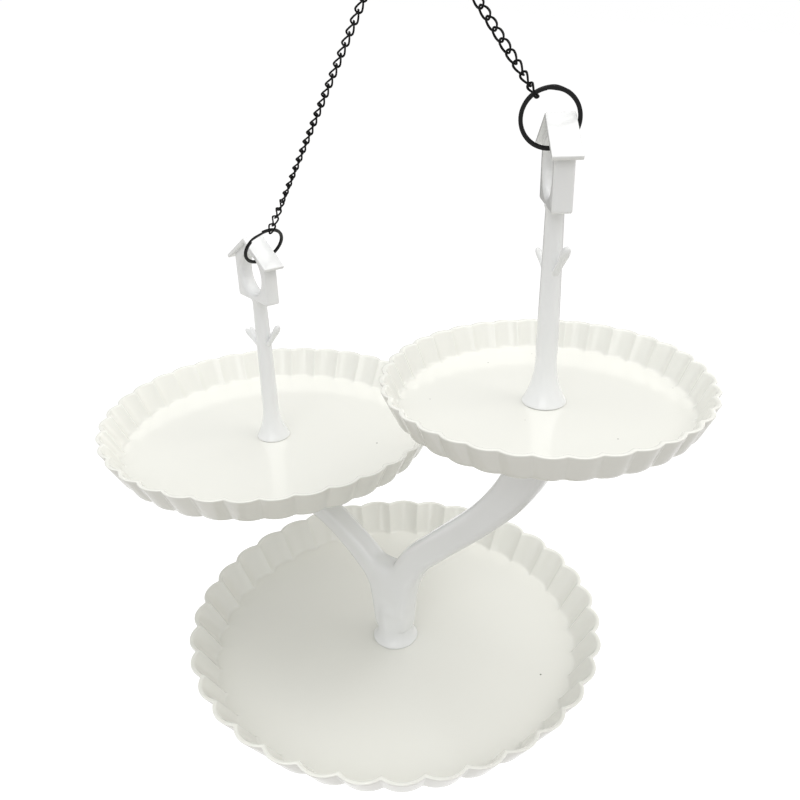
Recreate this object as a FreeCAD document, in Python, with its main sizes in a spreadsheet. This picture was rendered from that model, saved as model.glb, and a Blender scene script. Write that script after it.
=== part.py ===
"""Hanging bird feeder: three fluted trays on a forked branch, hung by two chains.

Lengths are in millimetres. Each rigid piece is drawn in the stand's own frame:
origin under the middle of the bottom tray, +Z up the trunk, +X towards the right
tray. At the end the whole set is turned and moved so that its centre of mass hangs
straight below the top ring, whose inner top is the origin of the finished part.
"""
import FreeCAD, Part
import math
import os

import Sketcher

Vector = FreeCAD.Vector
Rotation = FreeCAD.Rotation
Placement = FreeCAD.Placement

doc = FreeCAD.newDocument("bird_feeder")
sheet = doc.addObject("Spreadsheet::Sheet", "Sizes")

# Driving dimensions: name, value, what it is
SIZES = [
    ("flutes", 35, "scallops round each tray"),
    ("wall", 2.4, "wall of a tray, square to the wall"),
    ("floor", 2.2, "floor of a tray"),
    ("bottom_rim", 146, "bottom tray: radius to the cusps of the rim"),
    ("bottom_foot", 132, "bottom tray: radius to the cusps at the foot"),
    ("bottom_depth", 23, "bottom tray: rim above the floor"),
    ("bottom_bulge", 5.0, "bottom tray: how far a scallop stands out at the rim"),
    ("left_rim", 122.3, "left tray: radius to the cusps of the rim"),
    ("left_foot", 110.8, "left tray: radius to the cusps at the foot"),
    ("left_depth", 21, "left tray: rim above the floor"),
    ("left_bulge", 3.9, "left tray: how far a scallop stands out at the rim"),
    ("right_rim", 89.4, "right tray: radius to the cusps of the rim"),
    ("right_foot", 81.8, "right tray: radius to the cusps at the foot"),
    ("right_depth", 15.8, "right tray: rim above the floor"),
    ("right_bulge", 2.8, "right tray: how far a scallop stands out at the rim"),
    ("foot_bevel", 4, "bevel between the walls and the underside of a tray"),
    ("foot_bulge_part", 0.8, "bulge at the foot over the bulge at the rim"),
    ("bottom_turn", 5.5, "degrees from +X to a cusp of the bottom tray"),
    ("left_turn", 3.0, "degrees from +X to a cusp of the left tray"),
    ("right_turn", 5.6, "degrees from +X to a cusp of the right tray"),
    ("hub_radius", 11, "raised hub in the middle of the bottom tray"),
    ("hub_height", 4, "raised hub above the floor"),
    ("hub_clearance", 0.3, "gap round and over the hub in the trunk"),
    ("left_reach", 110.9, "left tray's axis from the trunk's axis"),
    ("left_level", 138.6, "underside of the left tray above that of the bottom one"),
    ("right_reach", 111.5, "right tray's axis from the trunk's axis"),
    ("right_level", 226.7, "underside of the right tray above that of the bottom one"),
    ("trunk_flange", 17, "radius of the trunk's foot flange"),
    ("trunk_waist", 13.9, "radius of the trunk above its foot"),
    ("trunk_core", 34, "height of the round part of the trunk"),
    ("arm_width", 20.4, "right arm: width across, at its middle"),
    ("arm_thick", 17, "arms: thickness front to back, at their middle"),
    ("boss_radius", 13, "radius of an arm's end under its tray"),
    ("post_foot", 12.2, "radius of a post's foot"),
    ("post_waist", 6.0, "radius of a post above its flare"),
    ("post_neck", 4.7, "radius of a post under its house"),
    ("post_flare", 31, "height of a post's flare"),
    ("post_length", 108.3, "tray floor to the underside of the house"),
    ("fan_root", 70.5, "root of the forked twig above the tray floor"),
    ("fan_rise", 13, "rise of the forked twig from root to tip"),
    ("club_root", 73, "root of the knobbly twig above the tray floor"),
    ("club_rise", 18, "rise of the knobbly twig from root to tip"),
    ("stud_radius", 4.5, "stud under a post"),
    ("stud_length", 14, "stud below the post's foot"),
    ("stud_clearance", 0.25, "gap round the stud in the tray and the arm"),
    ("house_width", 39.4, "birdhouse: width of its front"),
    ("house_thick", 10, "birdhouse: front face to back face"),
    ("roof_peak", 44.3, "roof: ridge above the underside of the house"),
    ("roof_width", 53.2, "roof: eave to eave"),
    ("roof_tip", 27.7, "roof: top of the eave above the underside of the house"),
    ("roof_thick", 2.4, "roof slab, square to the slope"),
    ("roof_depth", 14.8, "roof: front to back"),
    ("door_radius", 13.25, "round hole through a house"),
    ("door_height", 18.4, "centre of the hole above the underside"),
    ("door_bevel", 2.5, "bevel round the hole on both faces"),
    ("left_house_turn", 255, "degrees from +X to the left house's front"),
    ("right_house_turn", 216, "degrees from +X to the right house's front"),
    ("screw_radius", 2.5, "shank of the base screw"),
    ("screw_length", 20, "shank below the head"),
    ("screw_head", 7, "radius of the screw's head"),
    ("screw_head_height", 3, "height of the screw's head"),
    ("screw_clearance", 0.2, "gap round the shank in tray and trunk"),
    ("ring_radius", 14, "split ring: middle of its wire"),
    ("ring_wire", 2.3, "split ring: wire across, in its plane"),
    ("ring_coil", 1.0, "split ring: thickness of one turn"),
    ("ring_gap", 0.06, "split ring: gap between its two turns"),
    ("link_pitch", 6.35, "chain: step from link to link"),
    ("link_wire", 1.2, "chain: wire of a link"),
    ("link_width", 5.2, "chain: outside width of a link"),
    ("link_gap", 0.22, "chain: play between neighbouring links"),
    ("link_seat", 0.6, "chain: play between an end link and its ring"),
    ("left_links", 32, "links in the left chain"),
    ("right_links", 17, "links in the right chain"),
    ("left_chain_roll", -72, "left chain: turn of its settled links from its end link"),
    ("right_chain_roll", 70, "right chain: turn of its settled links from its end link"),
    ("roll_links", 4, "links that it takes a chain to settle"),
    ("left_ring_heading", 80.7, "left ring: degrees from +X to its level axis"),
    ("left_ring_lean", -32.8, "left ring: lean of its plane from upright"),
    ("left_door_angle", -90, "left ring: where the house sits on it"),
    ("left_chain_angle", 83, "left ring: where the chain sits on it"),
    ("left_ring_slide", 30, "left ring: its place round the hole, in degrees from the top"),
    ("left_ring_drop", 2.0, "left ring: middle of its wire in from the edge of the hole"),
    ("right_ring_heading", 30.7, "right ring: degrees from +X to its level axis"),
    ("right_ring_lean", -6.4, "right ring: lean of its plane from upright"),
    ("right_door_angle", -70, "right ring: where the house sits on it"),
    ("right_chain_angle", 124.7, "right ring: where the chain sits on it"),
    ("right_ring_slide", 0, "right ring: its place round the hole, in degrees from the top"),
    ("right_ring_drop", 3.2, "right ring: middle of its wire in from the edge of the hole"),
    ("plastic_density", 1.05, "moulded plastic, grams per cubic centimetre"),
    ("steel_density", 7.85, "steel, grams per cubic centimetre"),
]
for row, (alias, value, note) in enumerate(SIZES, start=1):
    sheet.set(f"A{row}", alias)
    sheet.set(f"B{row}", str(value))
    sheet.set(f"C{row}", note)
    sheet.setAlias(f"B{row}", alias)
doc.recompute()


def size(alias):
    return float(sheet.get(alias))


def bind(thing, prop, formula):
    """Tie a property to the sheet; names of sizes are written plainly in the formula."""
    thing.setExpression(prop, formula)


def polar(radius, degrees, height=0.0):
    angle = math.radians(degrees)
    return Vector(radius * math.cos(angle), radius * math.sin(angle), height)


# Sketches and bodies

def new_body(label):
    body = doc.addObject("PartDesign::Body", label)
    body.Label = label
    return body


def origin_plane(body, role):
    return next(item for item in body.Origin.OriginFeatures if item.Role == role)


def new_sketch(body, name, role, height=None):
    """An empty sketch on one of the body's own planes, raised by a formula if given."""
    sketch = body.newObject("Sketcher::SketchObject", name)
    sketch.AttachmentSupport = [(origin_plane(body, role), "")]
    sketch.MapMode = "FlatFace"
    if height is not None:
        bind(sketch, ".AttachmentOffset.Base.z", height)
    return sketch


def add_polygon(sketch, corners):
    for start, end in zip(corners, corners[1:] + corners[:1]):
        sketch.addGeometry(Part.LineSegment(Vector(*start, 0), Vector(*end, 0)), False)


def add_circle(sketch, radius_formula, centre=(0.0, 0.0), height_formula=None):
    """A circle whose radius, and height above the X axis if given, follow the sheet."""
    index = sketch.addGeometry(Part.Circle(Vector(*centre, 0), Vector(0, 0, 1), 1.0), False)
    radius = sketch.addConstraint(Sketcher.Constraint("Radius", index, 1.0))
    sketch.setExpression(f"Constraints[{radius}]", radius_formula)
    if height_formula is None:
        sketch.addConstraint(Sketcher.Constraint("Coincident", index, 3, -1, 1))
        return
    sketch.addConstraint(Sketcher.Constraint("PointOnObject", index, 3, -2))
    level = sketch.addConstraint(Sketcher.Constraint("DistanceY", -1, 1, index, 3, centre[1]))
    sketch.setExpression(f"Constraints[{level}]", height_formula)


# Trays: a flared wall of flutes, made between a scalloped foot and a scalloped rim

def scallops(cusp_radius, bulge, inset):
    """The arcs of a scalloped outline, moved in by a wall's thickness if inset."""
    count = int(size("flutes"))
    half = math.pi / count
    half_chord = cusp_radius * math.sin(half)
    lobe = (half_chord ** 2 + bulge ** 2) / (2 * bulge)
    lobe_centre = cusp_radius * math.cos(half) + bulge - lobe
    lobe -= inset
    across = lobe_centre * math.sin(half)
    cusp = lobe_centre * math.cos(half) + math.sqrt(lobe ** 2 - across ** 2)
    peak = lobe_centre + lobe
    step = math.degrees(2 * half)
    return [
        (polar(cusp, step * index), polar(peak, step * (index + 0.5)), polar(cusp, step * (index + 1)))
        for index in range(count)
    ]


def add_scallops(sketch, cusp_radius, bulge, inset):
    for start, middle, end in scallops(cusp_radius, bulge, inset):
        sketch.addGeometry(Part.Arc(start, middle, end), False)


def fluted_loft(body, kind, name, outlines, inset):
    """A ruled loft up through scalloped outlines: each is (radius, bulge, height formula)."""
    sketches = []
    for number, (radius, bulge, height) in enumerate(outlines, start=1):
        sketch = new_sketch(body, f"{name}Outline{number}", "XY_Plane", height)
        add_scallops(sketch, radius, bulge, inset)
        sketches.append(sketch)
    loft = body.newObject(kind, name)
    loft.Profile = sketches[0]
    loft.Sections = sketches[1:]
    loft.Ruled = True


def build_tray(side, hub=False):
    body = new_body(side + "_tray")
    rim, foot = size(side + "_rim"), size(side + "_foot")
    bulge = size(side + "_bulge")
    low_bulge = bulge * size("foot_bulge_part")
    height = size("floor") + size(side + "_depth")
    slope = (rim - foot) / height
    inset = size("wall") * math.hypot(1, slope)
    bevel = size("foot_bevel")

    def outline(level, formula):
        """The wall's outer outline at a level above the underside."""
        return foot + slope * level, low_bulge + (bulge - low_bulge) * level / height, formula

    top = outline(height, f"Sizes.floor + Sizes.{side}_depth")
    knee = outline(bevel, "Sizes.foot_bevel")
    base = (foot - 0.85 * bevel, low_bulge, "0")
    fluted_loft(body, "PartDesign::AdditiveLoft", "Flutes", [base, knee, top], 0.0)
    fluted_loft(body, "PartDesign::SubtractiveLoft", "Hollow",
                [outline(size("floor"), "Sizes.floor"), top], inset)
    if hub:
        raised = new_sketch(body, "HubOutline", "XY_Plane", "Sizes.floor")
        add_circle(raised, "Sizes.hub_radius")
        pad = body.newObject("PartDesign::Pad", "Hub")
        pad.Profile = raised
        bind(pad, "Length", "Sizes.hub_height")
        under = new_sketch(body, "HubRecessOutline", "XY_Plane", "0")
        add_circle(under, "Sizes.hub_radius - Sizes.wall")
        recess = body.newObject("PartDesign::Pocket", "HubRecess")
        recess.Profile = under
        recess.Reversed = True
        bind(recess, "Length", "Sizes.hub_height")
    bore = "Sizes.stud_radius + Sizes.stud_clearance"
    if hub:
        bore = "Sizes.screw_radius + Sizes.screw_clearance"
    hole_outline = new_sketch(body, "HoleOutline", "XY_Plane", "0")
    add_circle(hole_outline, bore)
    hole = body.newObject("PartDesign::Pocket", "Hole")
    hole.Profile = hole_outline
    hole.Type = "ThroughAll"
    hole.Midplane = True
    return body


# Posts: a turned stem with a flared foot and a stud, two twigs and a flat birdhouse

def add_lines(sketch, points):
    for start, end in zip(points, points[1:]):
        sketch.addGeometry(Part.LineSegment(Vector(*start, 0), Vector(*end, 0)), False)


def turn(body, name, lines_before, arc, lines_after):
    """A solid of revolution about the Z axis; points are (radius, height)."""
    sketch = new_sketch(body, name + "Outline", "XZ_Plane")
    add_lines(sketch, lines_before)
    sketch.addGeometry(Part.Arc(*[Vector(*point, 0) for point in arc]), False)
    add_lines(sketch, lines_after)
    turned = body.newObject("PartDesign::Revolution", name)
    turned.Profile = sketch
    turned.ReferenceAxis = (sketch, ["V_Axis"])
    turned.Angle = 360


def add_stem(body):
    foot, waist, neck = size("post_foot"), size("post_waist"), size("post_neck")
    stud, below = size("stud_radius"), -size("stud_length")
    flare = size("post_flare")
    lip = 1.2
    start = (foot, lip)
    middle = (waist + 0.2 * (foot - waist), lip + 0.42 * (flare - lip))
    end = (waist, flare)
    top = size("post_length") + 2.0
    before = [(0, below), (stud - 0.8, below), (stud, below + 0.8), (stud, 0), (foot - 0.4, 0),
              (foot, 0.4), start]
    after = [end, (neck, top), (0, top), (0, below)]
    turn(body, "Stem", before, (start, middle, end), after)


def pad_both_ways(body, name, corners, depth_formula):
    """A pad of a polygon on the house's mid plane; corners are (across, up)."""
    sketch = new_sketch(body, name + "Outline", "YZ_Plane")
    add_polygon(sketch, corners)
    pad = body.newObject("PartDesign::Pad", name)
    pad.Profile = sketch
    pad.Midplane = True
    bind(pad, "Length", depth_formula)
    return pad


def roof_slope():
    return (size("roof_peak") - size("roof_tip")) / (size("roof_width") / 2)


def house_corners():
    base = size("post_length")
    half = size("house_width") / 2
    round_off = 1.6
    peak = base + size("roof_peak") - size("roof_thick") / 2
    shoulder = peak - roof_slope() * half
    return [
        (-half + round_off, base), (half - round_off, base), (half, base + round_off),
        (half, shoulder), (0, peak), (-half, shoulder), (-half, base + round_off),
    ]


def roof_corners():
    base = size("post_length")
    half = size("roof_width") / 2
    peak = base + size("roof_peak")
    tip = base + size("roof_tip")
    length = math.hypot(1, roof_slope())
    drop = size("roof_thick") * length
    in_x = size("roof_thick") * roof_slope() / length
    in_z = size("roof_thick") / length
    return [
        (0, peak), (-half, tip), (-half + in_x, tip - in_z), (0, peak - drop),
        (half - in_x, tip - in_z), (half, tip),
    ]


def add_door(body):
    """The round hole through the house and the bevels round it on both faces."""
    level = "Sizes.post_length + Sizes.door_height"
    outline = new_sketch(body, "DoorOutline", "YZ_Plane")
    height = size("post_length") + size("door_height")
    add_circle(outline, "Sizes.door_radius", (0, height), level)
    door = body.newObject("PartDesign::Pocket", "Door")
    door.Profile = outline
    door.Type = "ThroughAll"
    door.Midplane = True
    doc.recompute()
    rims = []
    for index, edge in enumerate(door.Shape.Edges, start=1):
        curve = edge.Curve
        if isinstance(curve, Part.Circle) and abs(curve.Radius - size("door_radius")) < 1e-6:
            rims.append(f"Edge{index}")
    bevel = body.newObject("PartDesign::Chamfer", "DoorBevel")
    bevel.Base = (door, rims)
    bind(bevel, "Size", "Sizes.door_bevel")


def add_twig(body, name, heading, stations):
    """A twig lofted through ovals: each is (part of the rise, distance, half depth, half width).

    The root and the rise are the sizes whose names begin with the twig's name.
    """
    outward = polar(1, heading)
    sideways = polar(1, heading + 90)
    sketches = []
    for number, (part, distance, depth, width) in enumerate(stations, start=1):
        height = f"Sizes.{name}_root + {part} * Sizes.{name}_rise"
        sketch = new_sketch(body, f"{name}_oval_{number}", "XY_Plane", height)
        centre = outward * distance
        long_axis, short_axis = (sideways, outward) if width >= depth else (outward, sideways)
        oval = Part.Ellipse(centre + long_axis * max(width, depth),
                            centre + short_axis * min(width, depth), centre)
        sketch.addGeometry(oval, False)
        sketches.append(sketch)
    twig = body.newObject("PartDesign::AdditiveLoft", name + "_twig")
    twig.Profile = sketches[0]
    twig.Sections = sketches[1:]


def build_post(side):
    body = new_body(side + "_post")
    add_stem(body)
    add_twig(body, "fan", -78, [(0, 2.5, 2.0, 2.6), (0.45, 8.6, 1.7, 2.8),
                                (0.8, 13.4, 1.5, 3.8), (1.0, 15.0, 1.3, 4.0)])
    add_twig(body, "club", 107, [(0, 2.5, 2.0, 2.4), (0.45, 8.4, 1.8, 2.2),
                                 (0.85, 13.8, 2.4, 2.5), (1.0, 15.2, 1.7, 1.9)])
    pad_both_ways(body, "House", house_corners(), "Sizes.house_thick")
    add_door(body)
    pad_both_ways(body, "Roof", roof_corners(), "Sizes.roof_depth")
    return body


# Branch: a round trunk that forks into two arms, each ending in a boss under its tray

def rounded_oblong(half_width, half_thick):
    """A rectangle with rounded corners as edges, across X and thick along Y."""
    corner = 0.62 * min(half_width, half_thick)
    across, deep = half_width - corner, half_thick - corner
    middles = [(across, deep), (-across, deep), (-across, -deep), (across, -deep)]
    edges = []
    for index, (x, y) in enumerate(middles):
        start = math.radians(90 * index)
        points = [Vector(x + corner * math.cos(start + turned), y + corner * math.sin(start + turned))
                  for turned in (0, math.pi / 4, math.pi / 2)]
        edges.append(Part.Arc(*points))
        next_x, next_y = middles[(index + 1) % 4]
        last = start + math.pi / 2
        end = Vector(next_x + corner * math.cos(last), next_y + corner * math.sin(last))
        edges.append(Part.LineSegment(points[2], end))
    return edges


def add_arm(body, name, side, stations):
    """An arm lofted through rounded oblongs.

    Each station is (part of the reach, part of the rise, slant, half width, half thickness):
    the slant is in degrees from level, the last two are parts of the arm's own sizes.
    """
    reach, rise = size(side + "_reach"), size(side + "_level") - size("floor")
    facing = 1 if side == "right" else -1
    sketches = []
    for number, (along, up, slant, width, thick) in enumerate(stations, start=1):
        sketch = new_sketch(body, f"{name}Section{number}", "XY_Plane")
        centre = Vector(facing * along * reach, 0, size("floor") + up * rise)
        lean = Rotation(Vector(0, 1, 0), facing * (90 - slant))
        sketch.AttachmentOffset = Placement(centre, lean)
        half_width = width * size("arm_width") / 2
        half_thick = thick * size("arm_thick") / 2
        for edge in rounded_oblong(half_width, half_thick):
            sketch.addGeometry(edge, False)
        sketches.append(sketch)
    arm = body.newObject("PartDesign::AdditiveLoft", name)
    arm.Profile = sketches[0]
    arm.Sections = sketches[1:]


def add_boss(body, side):
    """The round end of an arm, flat against the tray, and its socket for the post's stud."""
    facing = 1 if side == "right" else -1
    deep = 16.0
    sketch = new_sketch(body, side.title() + "BossOutline", "XY_Plane", f"Sizes.{side}_level")
    centre = (facing * size(side + "_reach"), 0)
    sketch.addGeometry(Part.Circle(Vector(*centre, 0), Vector(0, 0, 1), size("boss_radius")), False)
    boss = body.newObject("PartDesign::Pad", side.title() + "Boss")
    boss.Profile = sketch
    boss.Reversed = True
    boss.Length = deep
    boss.TaperAngle = -8
    outline = new_sketch(body, side.title() + "SocketOutline", "XY_Plane", f"Sizes.{side}_level")
    bore = size("stud_radius") + size("stud_clearance")
    outline.addGeometry(Part.Circle(Vector(*centre, 0), Vector(0, 0, 1), bore), False)
    socket = body.newObject("PartDesign::Pocket", side.title() + "Socket")
    socket.Profile = outline
    bind(socket, "Length", "Sizes.stud_length - Sizes.floor + Sizes.stud_clearance")


def build_branch():
    body = new_body("branch")
    floor, flange, waist = size("floor"), size("trunk_flange"), size("trunk_waist")
    top = floor + size("trunk_core")
    start = (flange - 0.6, floor + 1.4)
    middle = (waist + 0.9, floor + 4.2)
    end = (waist, floor + 9)
    before = [(0, floor), (flange - 0.5, floor), (flange, floor + 0.6), start]
    after = [end, (waist - 1.2, top), (waist - 5, top + 4), (0, top + 4), (0, floor)]
    turn(body, "Trunk", before, (start, middle, end), after)
    add_arm(body, "RightArm", "right", [
        (0.02, 0.06, 84, 1.12, 1.35), (0.075, 0.23, 72, 1.08, 1.24), (0.184, 0.348, 58, 1.04, 1.1),
        (0.359, 0.442, 46, 0.99, 1.0), (0.641, 0.585, 48, 1.0, 1.0), (0.832, 0.705, 58, 1.14, 1.06),
        (0.95, 0.82, 70, 1.27, 1.24), (0.995, 0.93, 84, 1.28, 1.44)])
    add_arm(body, "LeftArm", "left", [
        (0.02, 0.1, 84, 1.1, 1.35), (0.085, 0.36, 66, 1.0, 1.22), (0.207, 0.476, 42, 0.92, 1.06),
        (0.361, 0.572, 36, 0.81, 1.0), (0.514, 0.648, 29, 0.81, 1.0), (0.703, 0.714, 26, 0.85, 1.0),
        (0.88, 0.806, 45, 1.0, 1.12), (0.975, 0.9, 74, 1.2, 1.4)])
    add_boss(body, "right")
    add_boss(body, "left")
    hub = new_sketch(body, "HubSeatOutline", "XY_Plane", "Sizes.floor")
    add_circle(hub, "Sizes.hub_radius + Sizes.hub_clearance")
    hub_seat = body.newObject("PartDesign::Pocket", "HubSeat")
    hub_seat.Profile = hub
    hub_seat.Reversed = True
    bind(hub_seat, "Length", "Sizes.hub_height + Sizes.hub_clearance")
    bore = new_sketch(body, "ScrewHoleOutline", "XY_Plane", "Sizes.floor")
    add_circle(bore, "Sizes.screw_radius + Sizes.screw_clearance")
    screw_hole = body.newObject("PartDesign::Pocket", "ScrewHole")
    screw_hole.Profile = bore
    screw_hole.Reversed = True
    bind(screw_hole, "Length", "Sizes.hub_height + Sizes.screw_length")
    return body


def build_screw():
    """The screw from below; its head sits in the hub's recess, its shank in the trunk."""
    body = new_body("base_screw")
    head, shank = size("screw_head"), size("screw_radius")
    tall, length = size("screw_head_height"), size("screw_length")
    edge = 0.8
    dome = (head ** 2 + (tall - edge) ** 2) / (2 * (tall - edge))
    start = (head, -edge)
    middle = (0.6 * head, dome - tall - math.sqrt(dome ** 2 - (0.6 * head) ** 2))
    end = (0.0, -tall)
    before = [(0, -tall), (0, length), (shank - 0.6, length), (shank, length - 0.6), (shank, 0),
              (head, 0), start]
    sketch = new_sketch(body, "ScrewOutline", "XZ_Plane")
    add_lines(sketch, before)
    sketch.addGeometry(Part.Arc(*[Vector(*point, 0) for point in (start, middle, end)]), False)
    turned = body.newObject("PartDesign::Revolution", "Screw")
    turned.Profile = sketch
    turned.ReferenceAxis = (sketch, ["V_Axis"])
    turned.Angle = 360
    return body


# Rings and links: wire bent along a path, as a solid of small flat faces

def wire_solid(rings, closed):
    """A solid through rings of points; closed joins the last ring to the first."""
    faces = []
    count = len(rings)
    last = count if closed else count - 1
    for index in range(last):
        here, there = rings[index], rings[(index + 1) % count]
        for side in range(len(here)):
            other = (side + 1) % len(here)
            for corners in ((here[side], here[other], there[other]),
                            (here[side], there[other], there[side])):
                faces.append(Part.Face(Part.makePolygon([*corners, corners[0]])))
    if not closed:
        for ring in (rings[0], rings[-1]):
            middle = sum(ring, Vector()) / len(ring)
            for side in range(len(ring)):
                corners = (middle, ring[side], ring[(side + 1) % len(ring)])
                faces.append(Part.Face(Part.makePolygon([*corners, corners[0]])))
    solid = Part.Solid(Part.Shell(faces))
    if solid.Volume < 0:
        solid.reverse()
    return solid


def split_ring():
    """Two turns of flat wire in the XZ plane; one steps over the other at the crossing."""
    radius, wire = size("ring_radius"), size("ring_wire") / 2
    coil, offset = size("ring_coil") / 2, (size("ring_coil") + size("ring_gap")) / 2
    crossing, opening = 34.0, 6.0
    turns = 28
    section = [(-wire, 0), (-0.68 * wire, -coil), (0.68 * wire, -coil), (wire, 0),
               (0.68 * wire, coil), (-0.68 * wire, coil)]
    step = 360.0 / turns
    first_turn = [index * step for index in range(int((360 - crossing) / step) + 1)]
    bend = [360 - crossing + part * crossing for part in (0.25, 0.5, 0.75)]
    end = 720 - crossing - opening
    second_turn = [360 + index * step for index in range(int((end - 360) / step) + 1)]
    angles = first_turn + bend + second_turn + [end]
    rings = []
    for angle in angles:
        part = min(max((angle - (360 - crossing)) / crossing, 0), 1)
        aside = offset * (-1 + 2 * (3 * part ** 2 - 2 * part ** 3))
        around = math.radians(angle)
        rings.append([
            Vector((radius + out) * math.cos(around), aside + over, (radius + out) * math.sin(around))
            for out, over in section
        ])
    return wire_solid(rings, closed=False)


def chain_link():
    """A twisted link along X: its plane turns a quarter turn over one step of the chain."""
    wire = size("link_wire") / 2
    pitch = size("link_pitch")
    end_radius = size("link_width") / 2 - wire
    straight = (pitch + size("link_gap")) / 2 + wire - end_radius
    bends = 4
    path = []
    for facing in (1, -1):
        for index in range(bends + 1):
            angle = math.radians(-90 + 180 * index / bends)
            path.append((facing * (straight + end_radius * math.cos(angle)),
                         facing * end_radius * math.sin(angle)))
    middle = [((path[-1][0] + path[0][0]) / 2, path[0][1])]
    path = middle + path[:bends + 1] + [(-middle[0][0], -middle[0][1])] + path[bends + 1:]

    def twisted(along, across, over):
        angle = math.radians(90 * along / pitch)
        return Vector(along, across * math.cos(angle) - over * math.sin(angle),
                      across * math.sin(angle) + over * math.cos(angle))

    rings = []
    for index, (along, across) in enumerate(path):
        before, after = path[index - 1], path[(index + 1) % len(path)]
        run, rise = after[0] - before[0], after[1] - before[1]
        length = math.hypot(run, rise)
        outward = (rise / length, -run / length)
        ring = []
        for side in range(5):
            angle = math.radians(72 * side)
            out, over = wire * math.cos(angle), wire * math.sin(angle)
            ring.append(twisted(along + out * outward[0], across + out * outward[1], over))
        rings.append(ring)
    return wire_solid(rings, closed=True)


# Stand: every rigid piece in its place above the bottom tray's underside

def upright(x, z, heading=0.0):
    return Placement(Vector(x, 0, z), Rotation(Vector(0, 0, 1), heading))


places = {}
bodies = {}


def keep(body, place):
    bodies[body.Label] = body
    places[body.Label] = place


left_x, right_x = -size("left_reach"), size("right_reach")
left_floor = size("left_level") + size("floor")
right_floor = size("right_level") + size("floor")
keep(build_tray("bottom", hub=True), upright(0, 0, size("bottom_turn")))
keep(build_tray("left"), upright(left_x, size("left_level"), size("left_turn")))
keep(build_tray("right"), upright(right_x, size("right_level"), size("right_turn")))
keep(build_branch(), upright(0, 0))
keep(build_post("left"), upright(left_x, left_floor, size("left_house_turn")))
keep(build_post("right"), upright(right_x, right_floor, size("right_house_turn")))
screw_seat = size("floor") + size("hub_height") - size("floor")
keep(build_screw(), upright(0, screw_seat))
doc.recompute()


# Hanging: where the rings sit in the houses, where the chains meet, which way is down

def ring_axes(side):
    heading = math.radians(size(side + "_ring_heading"))
    lean = math.radians(size(side + "_ring_lean"))
    level = Vector(math.cos(heading), math.sin(heading), 0)
    upward = Vector(-math.sin(heading) * math.sin(lean), math.cos(heading) * math.sin(lean),
                    math.cos(lean))
    return level, upward


def on_ring(axes, degrees):
    angle = math.radians(degrees)
    return axes[0] * math.cos(angle) + axes[1] * math.sin(angle)


def door_point(side):
    """The middle of the ring's wire where the edge of the round hole rests on it."""
    x = left_x if side == "left" else right_x
    floor = left_floor if side == "left" else right_floor
    middle = Vector(x, 0, floor + size("post_length") + size("door_height"))
    across = polar(1, size(side + "_house_turn") + 90)
    slide = math.radians(size(side + "_ring_slide"))
    out = across * math.sin(slide) + Vector(0, 0, 1) * math.cos(slide)
    return middle + out * (size("door_radius") - size(side + "_ring_drop"))


axes = {side: ring_axes(side) for side in ("left", "right")}
doors = {side: door_point(side) for side in axes}
centres = {}
holds = {}
for side, pair in axes.items():
    centres[side] = doors[side] - on_ring(pair, size(side + "_door_angle")) * size("ring_radius")
    holds[side] = centres[side] + on_ring(pair, size(side + "_chain_angle")) * size("ring_radius")
end_play = size("ring_wire") / 2 + size("link_seat")


def centre_of_mass():
    mass, moment = 0.0, Vector()
    for label, body in bodies.items():
        density = size("steel_density") if label == "base_screw" else size("plastic_density")
        for solid in body.Shape.Solids:
            weight = solid.Volume * density
            mass += weight
            moment += places[label].multVec(solid.CenterOfMass) * weight
    return moment / mass


def meeting_point(balance):
    """The chains' meeting point, in the plane through both doors and the balance point."""
    along = (doors["right"] - doors["left"]).normalize()
    square = (doors["left"] - balance).cross(along).normalize()
    above = along.cross(square).normalize()
    if above.dot(doors["left"] - balance) < 0:
        above = above * -1
    flat = {}
    for side in holds:
        offset = holds[side] - doors["left"]
        chain = size(side + "_links") * size("link_pitch") + size("ring_radius") - 2 * end_play
        reach = math.sqrt(chain ** 2 - offset.dot(square) ** 2)
        flat[side] = (offset.dot(along), offset.dot(above), reach)
    (x1, y1, r1), (x2, y2, r2) = flat["left"], flat["right"]
    span = math.hypot(x2 - x1, y2 - y1)
    share = (r1 ** 2 - r2 ** 2 + span ** 2) / (2 * span)
    height = math.sqrt(r1 ** 2 - share ** 2)
    unit = ((x2 - x1) / span, (y2 - y1) / span)
    x = x1 + share * unit[0] - height * unit[1]
    y = y1 + share * unit[1] + height * unit[0]
    return doors["left"] + along * x + above * y


balance = centre_of_mass()
apex = meeting_point(balance)
plumb = (apex - balance).normalize()
arms = [(holds[side] - apex).normalize() for side in ("left", "right")]
face = arms[0].cross(arms[1]).normalize()
top_up = (plumb - face * plumb.dot(face)).normalize()
ring_inner = size("ring_radius") - size("ring_wire") / 2
hook = apex + top_up * ring_inner
hang = Placement(Vector(), Rotation(plumb, Vector(0, 0, 1)))
hang.Base = hang.multVec(hook) * -1

for label, body in bodies.items():
    body.Placement = hang.multiply(places[label])


# Rings and chains in their places

def frame_of(x_axis, z_axis, base):
    """A placement whose X follows x_axis and whose Z lies as near z_axis as it can."""
    along = Vector(x_axis).normalize()
    square = Vector(z_axis).cross(along).normalize()
    upward = along.cross(square)
    return Placement(base, Rotation(along, square, upward, "XYZ"))


def add_feature(label, shape, place):
    feature = doc.addObject("Part::Feature", label)
    feature.Label = label
    feature.Shape = shape
    feature.Placement = hang.multiply(place)
    bodies[label] = feature


def turned_about(axis, degrees):
    return Placement(Vector(), Rotation(axis, degrees))


ring_shape = split_ring()
y_axis = Vector(0, 1, 0)
axes["top"] = (face.cross(top_up) * -1, top_up)
centres["top"] = apex
split_angles = {"left": -150.0, "right": -100.0, "top": -60.0}
for side, (level, upward) in axes.items():
    place = frame_of(level, upward, centres[side])
    add_feature(side + "_ring", ring_shape, place.multiply(turned_about(y_axis, split_angles[side])))

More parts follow.
